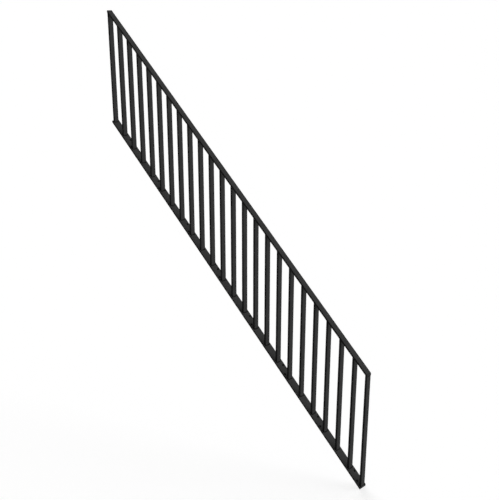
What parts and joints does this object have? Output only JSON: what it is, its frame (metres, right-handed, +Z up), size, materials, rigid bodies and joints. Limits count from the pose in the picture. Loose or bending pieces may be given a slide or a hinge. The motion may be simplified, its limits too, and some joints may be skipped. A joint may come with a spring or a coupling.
{
  "type": "stair railing",
  "caption": "Straight sloping steel stair railing: upright flat-bar balusters welded between a flat handrail and a wider base rail with staggered fixing holes.",
  "frame": {"origin": "middle of the base rail's underside, the face that sits on the stair string", "axes": "+X level along the flight towards its foot, +Y across the panel, +Z up"},
  "size_m": [2.586, 0.065, 2.9912],
  "materials": {
    "coated_steel": "satin dark grey powder coat"
  },
  "bodies": {
    "root": {"handrail": "coated_steel", "base_rail": "coated_steel", "upper_end_post": "coated_steel", "lower_end_post": "coated_steel", "baluster_01": "coated_steel", "baluster_02": "coated_steel", "baluster_03": "coated_steel", "baluster_04": "coated_steel", "baluster_05": "coated_steel", "baluster_06": "coated_steel", "baluster_07": "coated_steel", "baluster_08": "coated_steel", "baluster_09": "coated_steel", "baluster_10": "coated_steel", "baluster_11": "coated_steel", "baluster_12": "coated_steel", "baluster_13": "coated_steel", "baluster_14": "coated_steel", "baluster_15": "coated_steel", "baluster_16": "coated_steel", "baluster_17": "coated_steel", "baluster_18": "coated_steel", "baluster_19": "coated_steel", "baluster_20": "coated_steel", "baluster_21": "coated_steel", "baluster_22": "coated_steel"}
  },
  "joints": []
}
